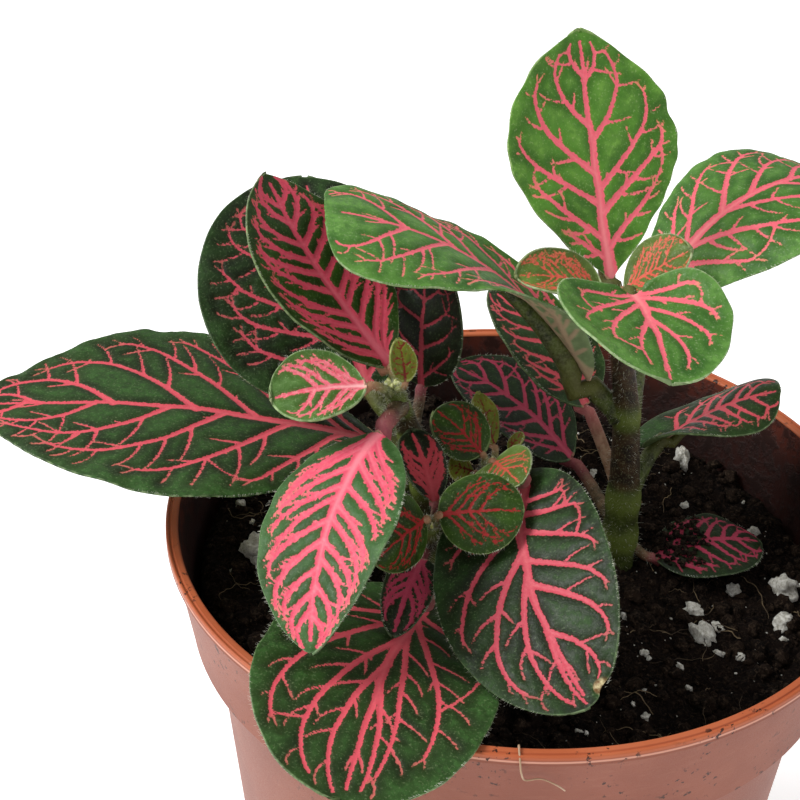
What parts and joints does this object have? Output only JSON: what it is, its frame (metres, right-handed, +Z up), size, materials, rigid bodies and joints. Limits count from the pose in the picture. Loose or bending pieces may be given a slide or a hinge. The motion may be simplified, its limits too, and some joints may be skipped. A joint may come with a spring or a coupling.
{
  "type": "potted nerve plant",
  "caption": "Pink-veined nerve plant with broad oval leaves on short stems, growing in soil in a round tapered plastic nursery pot.",
  "frame": {"origin": "centre of the pot's base, on the surface that the pot stands on", "axes": "+Z up along the pot's axis, -Y towards the front, where the large leaf hangs over the rim, +X to the right"},
  "size_m": [0.1135, 0.099, 0.1363],
  "materials": {
    "terracotta_plastic": "moulded polypropylene, satin, with fine scuffs and soil specks",
    "potting_soil": "crumbly dark peat with fibres and white perlite",
    "main_stem": "ridged brown-green bark with white hairs",
    "shoot_stem": "soft green stem with a dense coat of white hairs",
    "mature_leaf": "deep green, quilted, satin, with coral pink veins",
    "shaded_leaf": "dark green, satin, with magenta veins",
    "pink_leaf": "dense pink veins with a green border, satin",
    "young_leaf": "small green leaf with fine dense red veins and a pale hairy margin",
    "bud_leaf": "yellow-green unopened leaf with a dark red midrib"
  },
  "bodies": {
    "root": {"pot": "terracotta_plastic", "soil": "potting_soil", "right_stem": "main_stem", "left_stem": "shoot_stem", "middle_stem": "shoot_stem", "inner_stem": "shoot_stem", "right_leaf_upright": "mature_leaf", "right_leaf_outer": "mature_leaf", "right_young_leaf_left": "young_leaf", "right_young_leaf_right": "young_leaf", "right_leaf_front": "mature_leaf", "right_leaf_arching": "mature_leaf", "right_leaf_low_left": "mature_leaf", "right_leaf_low_right": "mature_leaf", "right_leaf_behind": "shaded_leaf", "right_leaf_on_soil": "shaded_leaf", "left_leaf_long": "mature_leaf", "left_leaf_back": "mature_leaf", "left_leaf_upright": "pink_leaf", "left_young_leaf": "young_leaf", "left_bud_leaf": "bud_leaf", "left_leaf_pink": "pink_leaf", "left_leaf_dark": "shaded_leaf", "middle_leaf_back": "shaded_leaf", "middle_leaf_front": "shaded_leaf", "middle_young_leaf_right": "young_leaf", "middle_young_leaf_left": "young_leaf", "middle_leaf_over_rim": "mature_leaf", "inner_young_leaf_left": "young_leaf", "inner_young_leaf_right": "young_leaf", "inner_bud_leaf_back": "bud_leaf", "inner_bud_leaf_left": "bud_leaf", "inner_bud_leaf_right": "bud_leaf", "inner_leaf_large": "mature_leaf"}
  },
  "joints": []
}
